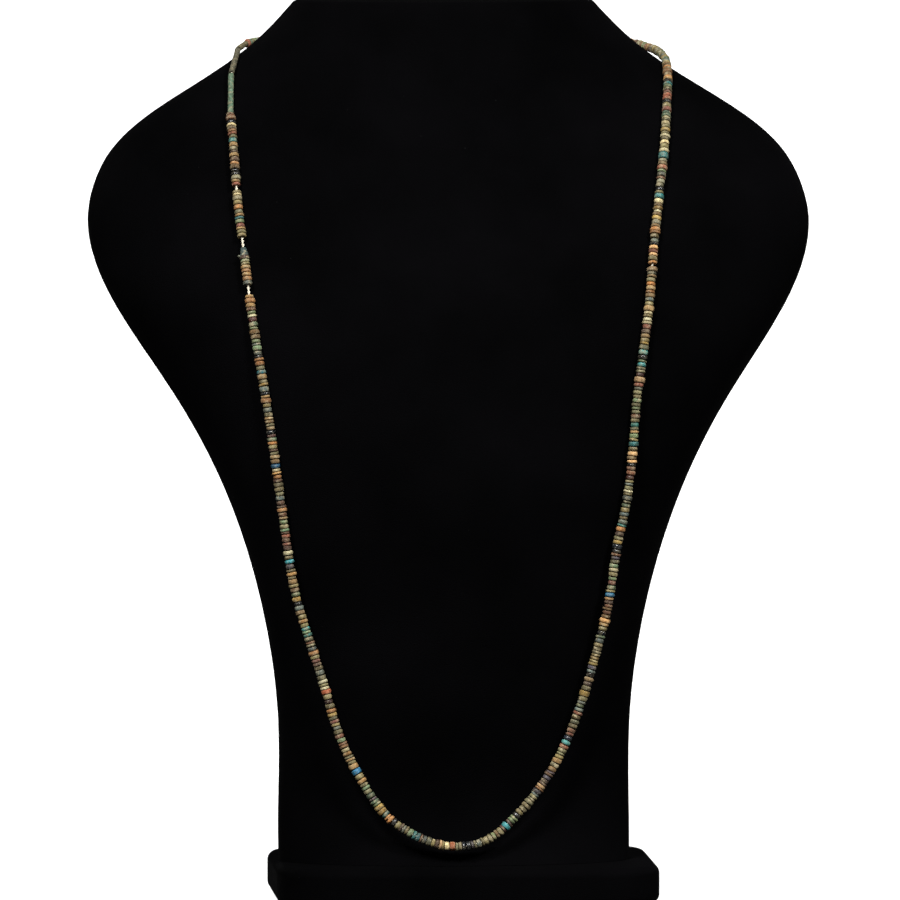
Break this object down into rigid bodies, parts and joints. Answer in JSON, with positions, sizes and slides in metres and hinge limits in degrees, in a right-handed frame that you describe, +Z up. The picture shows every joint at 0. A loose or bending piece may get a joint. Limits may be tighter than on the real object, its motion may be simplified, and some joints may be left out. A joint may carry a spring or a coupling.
{
  "type": "faience bead necklace on a neck bust",
  "caption": "Long single string of small weathered faience disc and tube beads, hung round the neck of a plain black velvet display bust on a rounded plinth.",
  "frame": {"origin": "centre of the plinth's underside, where it stands", "axes": "+Z up from the plinth to the neck, -Y out of the front, where the string hangs, +X to the viewer's right"},
  "size_m": [0.2418, 0.1261, 0.298],
  "materials": {
    "velvet": "matt black velvet with a short soft pile",
    "thread": "cream two-ply cotton thread",
    "faience_olive": "weathered matt faience, olive to tan, from bead to bead",
    "faience_green": "weathered pale green faience with worn glaze",
    "faience_sea": "weathered blue-green faience with worn glaze",
    "faience_orange": "matt orange faience, pitted",
    "faience_tan": "matt tan faience, pitted",
    "faience_cream": "matt cream to peach faience, pitted",
    "faience_coral": "matt coral red faience, pitted",
    "faience_dark": "dark glassy bead with a worn gloss",
    "faience_blue": "bright blue glaze, half matt",
    "faience_turquoise": "turquoise glaze, half matt"
  },
  "bodies": {
    "root": {"bust_base": "velvet", "cone_bead": "faience_sea", "discs_left_1": "faience_olive", "discs_left_2": "faience_olive", "discs_left_3": "faience_olive", "discs_left_4": "faience_olive", "discs_left_5": "faience_olive", "discs_nape_left": "faience_olive", "discs_nape_right": "faience_olive", "discs_right_1": "faience_olive", "discs_right_2": "faience_olive", "discs_right_3": "faience_olive", "neck_form": "velvet", "ring_blue_1": "faience_blue", "ring_blue_2": "faience_blue", "ring_blue_3": "faience_blue", "ring_chipped_flare": "faience_tan", "ring_coral_1": "faience_coral", "ring_coral_2": "faience_coral", "ring_cream": "faience_cream", "ring_cyan": "faience_turquoise", "ring_dark_1": "faience_dark", "ring_green_1": "faience_green", "ring_orange_1": "faience_orange", "ring_orange_2": "faience_orange", "ring_orange_3": "faience_orange", "ring_orange_4": "faience_orange", "ring_peach_1": "faience_cream", "ring_peach_2": "faience_cream", "ring_peach_3": "faience_cream", "ring_red": "faience_coral", "ring_tan_1": "faience_tan", "ring_tan_2": "faience_tan", "ring_tan_3": "faience_tan", "ring_teal_1": "faience_turquoise", "ring_teal_2": "faience_turquoise", "ring_terracotta": "faience_coral", "ring_turquoise_1": "faience_turquoise", "ring_turquoise_2": "faience_turquoise", "ring_turquoise_3": "faience_turquoise", "ring_turquoise_4": "faience_turquoise", "ring_turquoise_5": "faience_turquoise", "ring_yellow": "faience_tan", "thread": "thread", "thread_knot": "thread", "tube_bead_1": "faience_green", "tube_bead_2": "faience_green", "tube_bead_3": "faience_green"}
  },
  "joints": []
}
